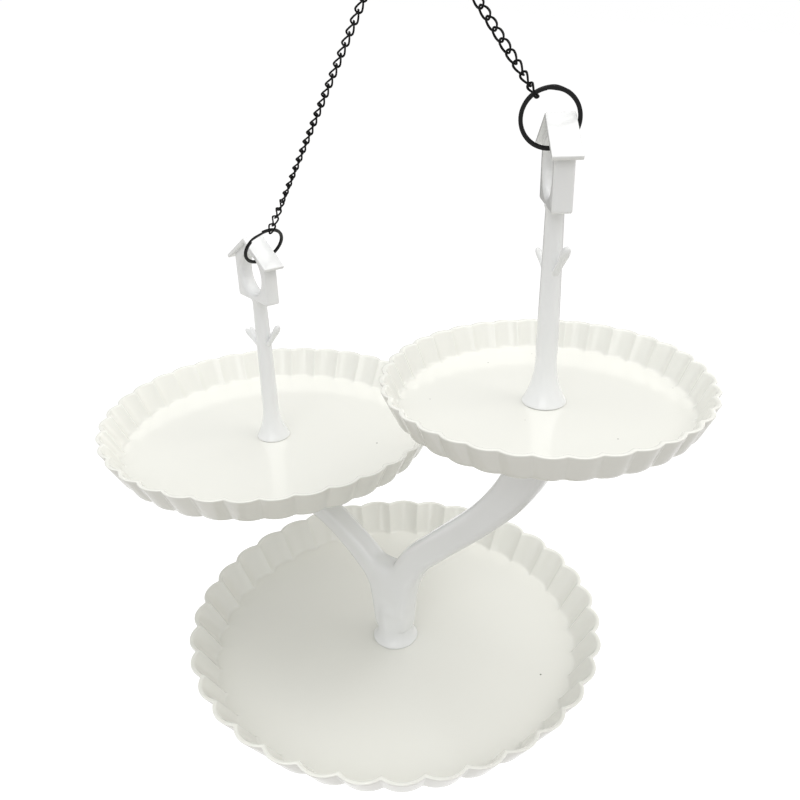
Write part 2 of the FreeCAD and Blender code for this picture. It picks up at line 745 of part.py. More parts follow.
link_shape = chain_link()
for side in ("left", "right"):
    count = int(size(side + "_links"))
    line = (apex - holds[side]).normalize()
    low_tangent = on_ring(axes[side], size(side + "_chain_angle") + 90)
    top_tangent = axes["top"][0].cross(axes["top"][1]).cross(line)
    low_plane = line.cross(low_tangent).normalize()
    top_plane = line.cross(top_tangent).normalize()
    start = Placement(Vector(), Rotation(line, low_plane, line.cross(low_plane), "XYZ"))
    swing = math.degrees(math.atan2(top_plane.dot(line.cross(low_plane)), top_plane.dot(low_plane)))
    first_roll = 45 - 90 * end_play / size("link_pitch")
    settled = size(side + "_chain_roll")
    last_turn = settled + (swing - 2 * first_roll - settled + 90) % 180 - 90
    low_steps = min(size("roll_links"), (count - 1) / 2)
    for index in range(count):
        middle = holds[side] + line * (size("link_pitch") * (index + 0.5) - end_play)
        low_share = min(index / low_steps, 1) if low_steps else 1
        top_share = max(index - low_steps, 0) / max(count - 1 - low_steps, 1)
        roll = first_roll + settled * low_share + (last_turn - settled) * top_share
        place = Placement(middle, start.Rotation)
        place = place.multiply(turned_about(Vector(1, 0, 0), roll))
        add_feature(f"{side}_link_{index + 1:02d}", link_shape, place)

doc.recompute()


# Check and write the pieces

for item in doc.Objects:
    if "Invalid" in item.State or "Error" in item.State:
        raise RuntimeError(f"{item.Label} did not build: {item.State}")

os.makedirs("parts", exist_ok=True)
for label, thing in bodies.items():
    shape = thing.Shape
    if shape.isNull() or not shape.isValid() or not shape.Solids:
        raise RuntimeError(f"{label} is not a sound solid")
    shape.exportStep(f"parts/{label}.step")
print(len(bodies), "pieces written; stand's balance point", balance, "chains meet at", apex)
print("lean of the trunk", round(math.degrees(plumb.getAngle(Vector(0, 0, 1))), 3))
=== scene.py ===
# %% [markdown]
# # A hanging bird feeder
# Three scalloped trays stand on a forked branch. Two posts, each topped by a small
# birdhouse, go up from the upper trays, and two black chains hang the whole from a ring.
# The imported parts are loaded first. They give the places and sizes that follow, and each
# piece made here takes the place of one of them.

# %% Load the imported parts
import math

import bmesh
import bpy
import numpy as np
from mathutils import Matrix, Vector


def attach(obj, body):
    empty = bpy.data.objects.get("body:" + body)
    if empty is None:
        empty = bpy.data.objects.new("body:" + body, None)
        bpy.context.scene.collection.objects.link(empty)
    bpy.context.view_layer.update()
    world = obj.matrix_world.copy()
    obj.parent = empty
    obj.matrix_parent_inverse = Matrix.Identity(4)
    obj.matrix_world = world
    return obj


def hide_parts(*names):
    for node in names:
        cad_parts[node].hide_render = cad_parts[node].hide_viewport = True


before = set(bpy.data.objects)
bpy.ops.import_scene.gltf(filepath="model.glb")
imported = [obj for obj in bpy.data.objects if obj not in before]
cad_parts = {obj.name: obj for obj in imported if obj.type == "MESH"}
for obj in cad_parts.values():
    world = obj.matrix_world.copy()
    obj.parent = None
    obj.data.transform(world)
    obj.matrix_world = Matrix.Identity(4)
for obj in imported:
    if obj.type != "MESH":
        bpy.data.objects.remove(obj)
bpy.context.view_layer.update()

scene = bpy.context.scene

# %% [markdown]
# ## How it hangs
# Every piece is drawn in the stand's own frame: millimetres, with Z up the trunk and X
# towards the small upper tray. The stand hangs with its balance point straight below the
# ring, so its trunk leans by nearly five degrees. The pieces could be drawn leaning, but
# upright ones are easier to measure. One matrix takes a point from the stand's frame to
# the scene's, in metres.

# %% The stand's frame in the scene
PLUMB = Vector((0.08539249636048697, -0.003077904864549828, 0.9963426358773215))
HANG_BASE = Vector((15.589053667197188, -0.8326047025230127, -493.57674643262465))
APEX = Vector((25.49107734232375, -1.1455520465567766, 480.3127766766594))
LEVELS = {"bottom": 0.0, "left": 138.6, "right": 226.7}
PLACES = {"bottom": 0.0, "left": -110.9, "right": 111.5}
FLOOR = 2.2

upright = PLUMB.rotation_difference(Vector((0, 0, 1))).to_matrix().to_4x4()
hang = Matrix.Scale(0.001, 4) @ Matrix.Translation(HANG_BASE) @ upright


def in_stand(x=0.0, y=0.0, z=0.0, heading=0.0):
    """The matrix of something that stands at a place in the stand's frame."""
    return hang @ Matrix.Translation((x, y, z)) @ Matrix.Rotation(math.radians(heading), 4, "Z")


print("the trunk leans", round(math.degrees(PLUMB.angle(Vector((0, 0, 1)))), 2), "degrees")
print("the chains meet", [round(v, 4) for v in hang @ APEX])

# %% [markdown]
# ## The camera
# The camera stands a little above the upper trays and looks down at the feeder. It
# could be pointed with a Track To constraint, but its place and its right and up directions
# are known in the stand's frame, so they go straight into its matrix.

# %% The camera
turn = Matrix.Rotation(math.radians(37.35), 4, "Z")
eye = turn @ Vector((8.48, -462.65, 397.45)) + Vector((0, 0, 25.2))
right = turn @ Vector((0.99957, -0.0127, -0.02635))
upward = turn @ Vector((0.02925, 0.43406, 0.90041))
camera_data = bpy.data.cameras.new("camera")
camera_data.sensor_width = 36.0
camera_data.lens = 788.18 / 800 * 36.0
camera_data.clip_start = 0.01
camera = bpy.data.objects.new("camera", camera_data)
scene.collection.objects.link(camera)
scene.camera = camera
axes = Matrix.Identity(3)
axes.col[0] = (upright.to_3x3() @ right).normalized()
axes.col[2] = axes.col[0].cross((upright.to_3x3() @ upward).normalized()).normalized()
axes.col[1] = axes.col[2].cross(axes.col[0]).normalized()
camera.matrix_world = Matrix.Translation(hang @ eye) @ axes.to_4x4()
view = {"eye": camera.matrix_world.translation, "right": axes.col[0], "back": axes.col[2]}
print("camera at", [round(v, 3) for v in view["eye"]], "lens", round(camera_data.lens, 2))

# %% [markdown]
# ## Making meshes
# Most pieces start as one closed outline, which is extruded again and again: each new
# outline is moved to its place before the next step. A skin could also be typed in as a
# list of faces, but the operator keeps the joins right by itself. Round pieces are half
# outlines, spun about an axis.

# %% Outlines, extruded and spun


def add_skin(mesh, rows, wrap_rows=False, caps=False):
    """One outline extruded through rows of points; it closes on itself or gets two caps."""
    order = mesh.verts.layers.int.get("order") or mesh.verts.layers.int.new("order")
    first = [mesh.verts.new(point) for point in rows[0]]
    for index, vert in enumerate(first):
        vert[order] = index
    outline = [mesh.edges.new((first[index - 1], first[index])) for index in range(len(first))]
    if caps:
        bmesh.ops.edgeloop_fill(mesh, edges=outline)
    for row in [*rows[1:], *([rows[0]] if wrap_rows else [])]:
        grown = bmesh.ops.extrude_edge_only(mesh, edges=outline)["geom"]
        fresh = {item for item in grown if isinstance(item, bmesh.types.BMVert)}
        for vert in fresh:
            vert.co = row[vert[order]]
        outline = [item for item in grown if isinstance(item, bmesh.types.BMEdge)
                   and item.verts[0] in fresh and item.verts[1] in fresh]
    if wrap_rows:
        bmesh.ops.remove_doubles(mesh, verts=[*first, *fresh], dist=1e-5)
    if caps:
        bmesh.ops.edgeloop_fill(mesh, edges=outline)


def add_turned(mesh, profile, count, middle=0.0):
    """A half outline of (radius, height), spun once round an upright axis and closed."""
    line = [mesh.verts.new((middle + radius, 0, height)) for radius, height in profile]
    edges = [mesh.edges.new(pair) for pair in zip(line, line[1:])]
    bmesh.ops.spin(mesh, geom=line + edges, cent=(middle, 0, 0), axis=(0, 0, 1), angle=math.tau,
                   steps=count, use_merge=True)
    bmesh.ops.holes_fill(mesh, edges=[edge for edge in mesh.edges if edge.is_boundary], sides=0)


print("outlines can be extruded and spun")

# %% [markdown]
# ## Finishing a piece
# A piece is built in its own frame, then its mesh is moved into the scene, so that its
# object stays at the origin. The place could go on the object instead, but patterns read
# the object's own coordinates and would turn with it. Normals are turned outwards, and
# only edges sharper than an angle stay sharp.

# %% Finished pieces


def finished(name, mesh, place, smooth_angle=40):
    """An object of a mesh, moved by a matrix, smooth except at edges sharper than an angle."""
    bmesh.ops.transform(mesh, matrix=place, verts=mesh.verts)
    bmesh.ops.recalc_face_normals(mesh, faces=mesh.faces)
    data = bpy.data.meshes.new(name)
    mesh.to_mesh(data)
    mesh.free()
    data.shade_smooth()
    data.set_sharp_from_angle(angle=math.radians(smooth_angle))
    piece = bpy.data.objects.new(name, data)
    scene.collection.objects.link(piece)
    return piece


print("finished pieces stand at the origin")

# %% [markdown]
# ## The trays
# A tray is a flared wall of 35 flutes round a flat floor. In plan, each flute is an arc
# that bulges outwards between two cusps. A wave added to a circle would be quicker, but
# its ridges come out as round as its hollows. Here an outline further in is the same set
# of arcs with smaller radii, which is why the cusps are ridges on the inside. One row
# runs from the hole under the tray, out and up the wall, over the rim and back in.

# %% Outlines with flutes
FLUTES = 35


def scallop_radii(cusp_radius, bulge, inset, steps, soften=0.55):
    """Distance from the axis round one flute, closer together near the cusps."""
    half = math.pi / FLUTES
    half_chord = cusp_radius * math.sin(half)
    lobe = (half_chord**2 + bulge**2) / (2 * bulge)
    centre = cusp_radius * math.cos(half) + bulge - lobe
    lobe -= inset
    spread = np.sin(np.linspace(-1, 1, steps, endpoint=False) * math.pi / 2) * half

    def lobe_radius(offset):
        inside = np.maximum(lobe**2 - (centre * np.sin(offset))**2, 0)
        return centre * np.cos(offset) + np.sqrt(inside)

    near = lobe_radius(spread)
    beside = lobe_radius(2 * half - np.abs(spread))
    blended = soften * np.logaddexp(near / soften, beside / soften)
    return spread + half, blended


def all_round(angles, radii, height):
    """One flute's points repeated for every flute of a row."""
    row = []
    for flute in range(FLUTES):
        around = angles + flute * 2 * math.pi / FLUTES
        row.extend(zip(radii * np.cos(around), radii * np.sin(around), [height] * len(angles)))
    return row


def scallop_row(cusp_radius, bulge, inset, height, steps):
    """A level outline of flutes, moved in by an inset."""
    angles, radii = scallop_radii(cusp_radius, bulge, inset, steps)
    return all_round(angles, radii, height)


def plain_row(radius, height, steps):
    """A circle with the same spacing as a scalloped row."""
    angles, _ = scallop_radii(100, 3, 0, steps)
    return all_round(angles, radius, height)


print("a row of the tray has", len(plain_row(50, 0, 22)), "points")

# %% A tray's rows
WALL = 2.4
TRAYS = {
    "bottom": {"rim": 146.0, "foot": 132.0, "depth": 23.0, "bulge": 5.0, "turn": 5.5, "hole": 2.7},
    "left": {"rim": 122.3, "foot": 110.8, "depth": 21.0, "bulge": 3.9, "turn": 3.0, "hole": 4.75},
    "right": {"rim": 89.4, "foot": 81.8, "depth": 15.8, "bulge": 2.8, "turn": 5.6, "hole": 4.75},
}
FOOT_BEVEL = 4.0
FOOT_BULGE_SHARE = 0.8
LIP = 1.1
FLOOR_FILLET = 1.6
HUB_RADIUS = 11.0
HUB_HEIGHT = 4.0


def tray_rows(size, hub, steps=22):
    """Rows from the hole under the tray, out and up the wall, over the rim and back in."""
    rim, foot, bulge = size["rim"], size["foot"], size["bulge"]
    low_bulge = FOOT_BULGE_SHARE * bulge
    height = FLOOR + size["depth"]
    slope = (rim - foot) / height
    thick = WALL * math.hypot(1, slope)

    def wall(level, inset, shift=0.0):
        bulge_here = low_bulge + (bulge - low_bulge) * level / height
        return scallop_row(foot + slope * level + shift, bulge_here, inset, level, steps)

    rows = []
    if hub:
        inner = HUB_RADIUS - WALL
        rows += [plain_row(size["hole"], HUB_HEIGHT, steps), plain_row(inner - 0.5, HUB_HEIGHT, steps),
                 plain_row(inner, HUB_HEIGHT - 0.5, steps), plain_row(inner, 0.4, steps),
                 plain_row(inner + 0.4, 0, steps)]
    else:
        rows.append(plain_row(size["hole"], 0.0, steps))
    for step in range(7):
        part = math.radians(90 * step / 6)
        rows.append(wall(FOOT_BEVEL * (1 - math.cos(part)), 0.0,
                         -0.85 * FOOT_BEVEL * (1 - math.sin(part))))
    for level in np.linspace(FOOT_BEVEL, height - LIP, 4)[1:]:
        rows.append(wall(level, 0.0))
    for step in range(1, 12):
        part = math.radians(180 * step / 12)
        across = 0.5 * (1 - math.copysign(abs(math.cos(part)) ** 0.75, math.cos(part)))
        level = height - LIP + LIP * math.sin(part) ** 0.8
        rows.append(wall(level, across * thick))
    for level in np.linspace(height - LIP, FLOOR + FLOOR_FILLET, 5):
        rows.append(wall(level, thick))
    for step in range(1, 6):
        part = math.radians(90 * step / 5)
        rows.append(wall(FLOOR + FLOOR_FILLET * (1 - math.sin(part)), thick,
                         -FLOOR_FILLET * (1 - math.cos(part))))
    for radius in (foot - thick - bulge - 4, 0.6 * foot, 0.3 * foot, 14.5):
        rows.append(plain_row(radius, FLOOR, steps))
    if hub:
        rows += [plain_row(HUB_RADIUS + 0.1, FLOOR, steps),
                 plain_row(HUB_RADIUS, FLOOR + HUB_HEIGHT - 0.3, steps),
                 plain_row(HUB_RADIUS - 0.4, FLOOR + HUB_HEIGHT, steps),
                 plain_row(size["hole"], FLOOR + HUB_HEIGHT, steps)]
    else:
        rows.append(plain_row(size["hole"], FLOOR, steps))
    return rows


print("walls of", WALL, "mm, hub", HUB_HEIGHT, "mm high")

# %% The three trays
trays = {}
for side, size in TRAYS.items():
    mesh = bmesh.new()
    add_skin(mesh, tray_rows(size, side == "bottom"), wrap_rows=True)
    place = in_stand(PLACES[side], 0, LEVELS[side], size["turn"])
    trays[side] = finished(f"{side}_tray_skin", mesh, place, 60)
    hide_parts(f"{side}_tray")
    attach(trays[side], "stand")
    print(side, "tray", len(trays[side].data.polygons), "faces")

# %% [markdown]
# ## The branch
# The trunk and its two arms are one moulding. Each arm has a flat face between two
# rounded beads, front and back. Booleans could join the arms and the trunk, but they
# leave a hard seam. So the solids, with a web that fills the fork, are melted into one
# skin by a voxel remesh and then smoothed, most of all at the fork.

# %% Curves


def arc_points(start, middle, end, steps):
    """Points along the circular arc through three flat points, both ends among them."""
    (ax, ay), (bx, by), (cx, cy) = start, middle, end
    d = 2 * (ax * (by - cy) + bx * (cy - ay) + cx * (ay - by))
    ux = ((ax**2 + ay**2) * (by - cy) + (bx**2 + by**2) * (cy - ay) + (cx**2 + cy**2) * (ay - by)) / d
    uy = ((ax**2 + ay**2) * (cx - bx) + (bx**2 + by**2) * (ax - cx) + (cx**2 + cy**2) * (bx - ax)) / d
    radius = math.hypot(ax - ux, ay - uy)
    first = math.atan2(ay - uy, ax - ux)
    mid = (math.atan2(by - uy, bx - ux) - first + math.pi) % (2 * math.pi) - math.pi
    last = (math.atan2(cy - uy, cx - ux) - first + math.pi) % (2 * math.pi) - math.pi
    if mid * last < 0:
        last -= math.copysign(2 * math.pi, last)
    return [
        (ux + radius * math.cos(first + last * t), uy + radius * math.sin(first + last * t))
        for t in np.linspace(0, 1, steps)
    ]


def smooth_path(points, steps):
    """A smooth curve through points of any dimension (Catmull-Rom), steps to a span."""
    points = np.asarray(points, float)
    padded = np.vstack([2 * points[0] - points[1], points, 2 * points[-1] - points[-2]])
    out = []
    for index in range(1, len(padded) - 2):
        p0, p1, p2, p3 = padded[index - 1:index + 3]
        for t in np.linspace(0, 1, steps, endpoint=False):
            out.append(0.5 * (2 * p1 + (p2 - p0) * t + (2 * p0 - 5 * p1 + 4 * p2 - p3) * t**2
                              + (3 * p1 - p0 - 3 * p2 + p3) * t**3))
    out.append(padded[-2])
    return np.array(out)


print("three points make an arc of", len(arc_points((1, 0), (0, 1), (-1, 0), 8)), "points")

# %% Arms
ARM_WIDTH = 20.4
ARM_THICK = 17.0
# Stations: share of the reach, share of the rise, slant in degrees, width, thickness
RIGHT_ARM = [
    (0.02, 0.06, 84, 1.12, 1.35), (0.075, 0.23, 72, 1.08, 1.24), (0.184, 0.348, 58, 1.04, 1.1),
    (0.359, 0.442, 46, 0.99, 1.0), (0.641, 0.585, 48, 1.0, 1.0), (0.832, 0.705, 58, 1.14, 1.06),
    (0.95, 0.82, 70, 1.27, 1.24), (0.995, 0.93, 84, 1.28, 1.44),
]
LEFT_ARM = [
    (0.02, 0.1, 84, 1.1, 1.35), (0.085, 0.36, 66, 1.0, 1.22), (0.207, 0.476, 42, 0.92, 1.06),
    (0.361, 0.572, 36, 0.81, 1.0), (0.514, 0.648, 29, 0.81, 1.0), (0.703, 0.714, 26, 0.85, 1.0),
    (0.88, 0.806, 45, 1.0, 1.12), (0.975, 0.9, 74, 1.2, 1.4),
]


def arm_section(half_width, half_thick, count=56):
    """An oblong whose two flat faces lie a little below the beads along their edges."""
    points = []
    for angle in np.linspace(0, 2 * math.pi, count, endpoint=False):
        c, s = math.cos(angle), math.sin(angle)
        across = half_width * math.copysign(abs(c) ** 0.62, c)
        deep = half_thick * math.copysign(abs(s) ** 0.62, s)
        channel = 0.9 * math.exp(-((across / (0.55 * half_width)) ** 4))
        points.append((across, deep - math.copysign(channel, s) * abs(s) ** 0.5))
    return points


def arm_rows(stations, side):
    """Sections of an arm, each leaning with its curve."""
    facing = 1 if side == "right" else -1
    reach, rise = abs(PLACES[side]), LEVELS[side] - FLOOR
    rows = []
    for along, up, slant, width, thick in smooth_path(stations, 9):
        middle = Vector((facing * along * reach, 0, FLOOR + up * rise))
        lean = Matrix.Rotation(math.radians(facing * (90 - slant)), 3, "Y")
        section = arm_section(width * ARM_WIDTH / 2, thick * ARM_THICK / 2)
        rows.append([middle + lean @ Vector((x, y, 0)) for x, y in section])
    return rows


print("arms drawn with", len(RIGHT_ARM), "and", len(LEFT_ARM), "stations")

# %% The branch before melting
mesh = bmesh.new()
add_skin(mesh, arm_rows(RIGHT_ARM, "right"), caps=True)
add_skin(mesh, arm_rows(LEFT_ARM, "left"), caps=True)
trunk = [(17.0 - 0.5, FLOOR + 0.05), (17.0, FLOOR + 0.6)]
trunk += arc_points((16.5, FLOOR + 1.6), (14.6, FLOOR + 4.6), (13.2, FLOOR + 10), 8)
trunk += [(12.5, FLOOR + 22), (12.2, FLOOR + 34), (8.9, FLOOR + 38)]
add_turned(mesh, trunk, 96)
# The web's stations: X, Z, half width and half thickness
web = [(0, 30, 11, 10.8), (0, 44, 11.5, 11.0), (-1, 54, 12, 11.0), (-2, 60, 12.5, 10.6), (-3, 64, 13, 9.8),
       (-3, 67.5, 13, 8.2), (-3, 70, 12, 6), (-3, 71, 9, 3)]
web_rows = [[(x + across, deep, z) for across, deep in arm_section(width, thick)]
            for x, z, width, thick in web]
add_skin(mesh, web_rows, caps=True)
for side in ("left", "right"):
    boss = [(10.9, LEVELS[side] - 16), (13.0, LEVELS[side] - 1.5), (12.9, LEVELS[side] - 0.05)]
    add_turned(mesh, boss, 72, PLACES[side])
bmesh.ops.recalc_face_normals(mesh, faces=mesh.faces)
branch = finished("branch_skin", mesh, Matrix.Identity(4))
print("branch starts with", len(branch.data.polygons), "faces")

# %% Melting and softening
VOXEL = 0.8


def settled_mesh(piece):
    """The piece's mesh as its modifiers leave it, which are then taken off."""
    mesh = bpy.data.meshes.new_from_object(piece.evaluated_get(bpy.context.evaluated_depsgraph_get()))
    piece.modifiers.clear()
    piece.data = mesh
    return mesh


melt = branch.modifiers.new("melt", "REMESH")
melt.mode = "VOXEL"
melt.voxel_size = VOXEL
melted = settled_mesh(branch)
fork = branch.vertex_groups.new(name="fork")
for vert in melted.vertices:
    away = math.hypot(vert.co.x / 26, (vert.co.z - 54) / 34)
    fork.add([vert.index], min(max(1.5 - away, 0.0), 1.0), "REPLACE")
for name, group, steps in (("soften", "", 5), ("blend_fork", "fork", 120)):
    modifier = branch.modifiers.new(name, "SMOOTH")
    modifier.factor = 0.5
    modifier.iterations = steps
    modifier.vertex_group = group
melted = settled_mesh(branch)
print("branch melted into", len(melted.polygons), "faces")

# %% [markdown]
# ## The groove at the foot
# A shallow panel is pressed into the front of the trunk's foot. A boolean would give it
# hard edges. Each point inside it is pushed in a little instead, with a smooth fall-off.

# %% The groove
GROOVE = {"heading": math.radians(-59), "depth": 0.8, "half_width": 6.2, "height": 18, "half_height": 11}
heading = GROOVE["heading"]
for vert in melted.vertices:
    aside = vert.co.x * math.sin(-heading) + vert.co.y * math.cos(heading)
    facing = vert.co.x * math.cos(heading) + vert.co.y * math.sin(heading)
    if facing > 0 and vert.co.z < 40:
        inside = math.exp(-((aside / GROOVE["half_width"]) ** 6))
        inside *= math.exp(-(((vert.co.z - GROOVE["height"]) / GROOVE["half_height"]) ** 6))
        vert.co.x -= GROOVE["depth"] * inside * math.cos(heading)
        vert.co.y -= GROOVE["depth"] * inside * math.sin(heading)
melted.transform(hang)
melted.shade_smooth()
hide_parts("branch")
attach(branch, "stand")
print("branch", len(melted.polygons), "faces")

# %% [markdown]
# ## The posts
# Both posts come out of one mould. A post is a slim stem with a flared foot, two stubby
# twigs and a flat birdhouse with a round hole right through it. A boolean could
# cut the hole, but rows that run from the outside of the wall to the rim of the hole and
# back give clean faces and a soft edge in one skin.

# %% Rounded outlines
POST_LENGTH = 108.3
HOUSE_HALF = 5.0
HOUSE_WIDTH = 39.4
DOOR = {"radius": 13.25, "height": 18.4, "bevel": 2.5, "clear": 0.12}
ROOF = {"width": 53.2, "peak": 44.3, "tip": 27.7, "thick": 2.4, "depth": 14.8}


def rounded_outline(corners, radius, per_corner=7, spacing=1.2):
    """A closed flat outline with round corners, with its outward directions."""
    count = len(corners)
    points = []
    for index in range(count):
        before, here, after = (Vector(corners[(index + step) % count]) for step in (-1, 0, 1))
        back, ahead = (before - here).normalized(), (after - here).normalized()
        angle = back.angle(ahead)
        reach = radius / math.tan(angle / 2)
        start, end = here + back * reach, here + ahead * reach
        for t in np.linspace(0, 1, per_corner):
            curve = start * (1 - t) ** 2 + here * 2 * t * (1 - t) + end * t**2
            points.append(curve)
    dense = []
    for here, after in zip(points, points[1:] + points[:1]):
        pieces = max(1, int((after - here).length / spacing))
        dense += [here.lerp(after, step / pieces) for step in range(pieces)]
    total = len(dense)
    area = sum(a.x * b.y - b.x * a.y for a, b in zip(dense, dense[1:] + dense[:1]))
    outward = []
    for index in range(total):
        run = dense[(index + 1) % total] - dense[index - 1]
        normal = Vector((run.y, -run.x)).normalized()
        outward.append(normal if area > 0 else -normal)
    return dense, outward


print("a post is", POST_LENGTH + ROOF["peak"], "mm tall above its tray")

# %% The birdhouse


def add_house(mesh):
    """The flat house: outside wall, faces, bevelled round hole; X is through, Y across."""
    half = HOUSE_WIDTH / 2
    slope = (ROOF["peak"] - ROOF["tip"]) / (ROOF["width"] / 2)
    peak = ROOF["peak"] - ROOF["thick"] / 2
    shoulder = peak - slope * half
    corners = [(-half, 0), (half, 0), (half, shoulder), (0, peak), (-half, shoulder)]
    outline, outward = rounded_outline(corners, 1.8)
    middle = Vector((0, DOOR["height"]))
    rays = [(point - middle).normalized() for point in outline]
    edge = 0.9

    def wall_row(inset, through):
        return [(through, p.x - n.x * inset, POST_LENGTH + p.y - n.y * inset)
                for p, n in zip(outline, outward)]

    def ring_row(radius, through):
        return [(through, radius * ray.x, POST_LENGTH + middle.y + radius * ray.y) for ray in rays]

    front = []
    for step in range(4):
        part = math.radians(90 * step / 3)
        front.append(("wall", edge * (1 - math.cos(part)), HOUSE_HALF - edge + edge * math.sin(part)))
    bevel, hole = DOOR["bevel"], DOOR["radius"] + DOOR["clear"]
    dish = arc_points((hole + bevel, HOUSE_HALF), (hole + 0.9, HOUSE_HALF - 0.85),
                      (hole, HOUSE_HALF - bevel), 7)
    front.append(("ring", hole + bevel + 0.25, HOUSE_HALF))
    front += [("ring", radius, through) for radius, through in dish]
    rows = []
    for kind, size, through in front:
        rows.append(wall_row(size, through) if kind == "wall" else ring_row(size, through))
    for kind, size, through in reversed(front):
        rows.append(wall_row(size, -through) if kind == "wall" else ring_row(size, -through))
    add_skin(mesh, rows, wrap_rows=True)


print("house", HOUSE_WIDTH, "mm wide, hole", 2 * DOOR["radius"], "mm")

# %% The roof


def add_roof(mesh):
    """The gable roof, one slab bent at the ridge."""
    half = ROOF["width"] / 2
    slope = (ROOF["peak"] - ROOF["tip"]) / half
    length = math.hypot(1, slope)
    drop = ROOF["thick"] * length
    in_y, in_z = ROOF["thick"] * slope / length, ROOF["thick"] / length
    corners = [(0, ROOF["peak"]), (-half, ROOF["tip"]), (-half + in_y, ROOF["tip"] - in_z),
               (0, ROOF["peak"] - drop), (half - in_y, ROOF["tip"] - in_z), (half, ROOF["tip"])]
    outline, outward = rounded_outline(corners, 0.7, per_corner=5, spacing=2.0)
    edge = 0.45
    rows = []
    stops = [(edge * (1 - math.cos(math.radians(a))), edge * math.sin(math.radians(a)))
             for a in (90, 60, 30, 0)]
    deep = ROOF["depth"] / 2 - edge
    for inset, out in stops:
        rows.append((inset, -deep - out))
    for inset, out in reversed(stops):
        rows.append((inset, deep + out))
    skins = [[(x, p.x - n.x * inset, POST_LENGTH + p.y - n.y * inset)
              for p, n in zip(outline, outward)] for inset, x in rows]
    add_skin(mesh, skins, caps=True)


print("roof", ROOF["width"], "mm wide")

# %% The stem


def add_stem(mesh):
    """The turned stem, from its peg up into the house."""
    stem = [(4.4, -13.9), (4.5, -13.0), (4.5, 0.02), (11.7, 0.02), (12.2, 0.5), (12.15, 1.1)]
    stem += arc_points((11.9, 1.5), (7.25, 13.7), (6.0, 31), 16)
    stem += [(5.5, 60), (4.95, 95), (4.75, POST_LENGTH - 1.5), (5.3, POST_LENGTH), (5.3, POST_LENGTH + 1)]
    add_turned(mesh, stem, 72)


print("the stem's foot is 24.4 mm across")

# %% Twigs


def add_limb(mesh, stations, heading, count=20):
    """A rounded limb through stations of (distance, height, half depth, half width)."""
    path = smooth_path(stations, 5)
    rows = []
    turned = Matrix.Rotation(math.radians(heading), 3, "Z")
    for index, (distance, height, depth, width) in enumerate(path):
        before, after = path[max(index - 1, 0)], path[min(index + 1, len(path) - 1)]
        lean = math.atan2(after[0] - before[0], after[1] - before[1])
        row = []
        for angle in np.linspace(0, 2 * math.pi, count, endpoint=False):
            out, side = depth * math.cos(angle), width * math.sin(angle)
            point = Vector((distance + out * math.cos(lean), side, height - out * math.sin(lean)))
            row.append(turned @ point)
        rows.append(row)
    add_skin(mesh, rows, caps=True)


def add_fan_twig(mesh):
    """The forked twig: a stalk that widens into two leaf-shaped lobes with a groove between."""
    add_limb(mesh, [(2.5, 70.2, 1.9, 2.6), (6.0, 73.8, 1.6, 2.7), (9.6, 77.4, 1.4, 3.1),
                    (12.6, 80.4, 1.1, 3.0), (14.4, 82.2, 0.4, 1.5)], -78)
    for side in (-1, 1):
        add_limb(mesh, [(8.4, 75.6, 1.0, 1.2), (11.6, 78.8, 1.45, 1.75), (14.2, 81.5, 1.45, 1.8),
                        (15.5, 82.9, 0.9, 1.1), (15.9, 83.3, 0.2, 0.3)], -78 + side * 8)


def add_club_twig(mesh):
    """The knobbly twig: a stalk with a swollen tip and a bud on its upper side."""
    add_limb(mesh, [(2.5, 73.0, 1.9, 2.3), (6.4, 77.4, 1.7, 2.1), (10.2, 82.0, 1.75, 2.0),
                    (13.2, 86.4, 2.3, 2.5), (14.9, 89.2, 2.1, 2.2), (15.8, 90.7, 1.1, 1.2),
                    (16.1, 91.1, 0.2, 0.2)], 107)
    add_limb(mesh, [(6.5, 78.0, 1.2, 1.2), (7.6, 81.4, 1.3, 1.4), (8.2, 83.8, 1.0, 1.1),
                    (8.4, 84.8, 0.2, 0.2)], 115)


print("two twigs, one forked and one knobbly")

# %% Both posts
posts = {}
for side, heading in (("left", 255.0), ("right", 216.0)):
    mesh = bmesh.new()
    add_stem(mesh)
    add_fan_twig(mesh)
    add_club_twig(mesh)
    add_house(mesh)
    add_roof(mesh)
    place = in_stand(PLACES[side], 0, LEVELS[side] + FLOOR, heading)
    posts[side] = finished(f"{side}_post_skin", mesh, place, 50)
    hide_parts(f"{side}_post")
    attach(posts[side], "stand")
    print(side, "post", len(posts[side].data.polygons), "faces")

# %% [markdown]
# ## Where the rings hang
# Each lower ring bears on the upper edge of its birdhouse's hole and takes the chain at
# its far side. Empties could be placed by eye, but the two directions of each ring's
# plane and the angle of each hold on it give all the places from a few numbers.

# %% Places of the rings
RING = {"radius": 14.0, "wire": 1.15, "coil": 0.45, "offset": 0.45, "crossing": 34.0, "opening": 6.0}
WIRE_SHARE = 0.93


def ring_axes(heading, lean):
    """A ring's two directions: one level, one up at a lean."""
    heading, lean = math.radians(heading), math.radians(lean)
    level = Vector((math.cos(heading), math.sin(heading), 0))
    up = Vector((-math.sin(heading) * math.sin(lean), math.cos(heading) * math.sin(lean), math.cos(lean)))
    return level, up


def on_ring(axes, degrees):
    """The direction of a place on a ring, from its level axis."""
    angle = math.radians(degrees)
    return axes[0] * math.cos(angle) + axes[1] * math.sin(angle)


def door_point(side, house_heading, slide, drop):
    """Where a ring's wire bears in a birdhouse's hole."""
    side_on = math.radians(house_heading + 90)
    across = Vector((math.cos(side_on), math.sin(side_on), 0))
    out = across * math.sin(math.radians(slide)) + Vector((0, 0, 1)) * math.cos(math.radians(slide))
    middle = Vector((PLACES[side], 0, LEVELS[side] + FLOOR + POST_LENGTH + DOOR["height"]))
    return middle + out * (DOOR["radius"] - drop)


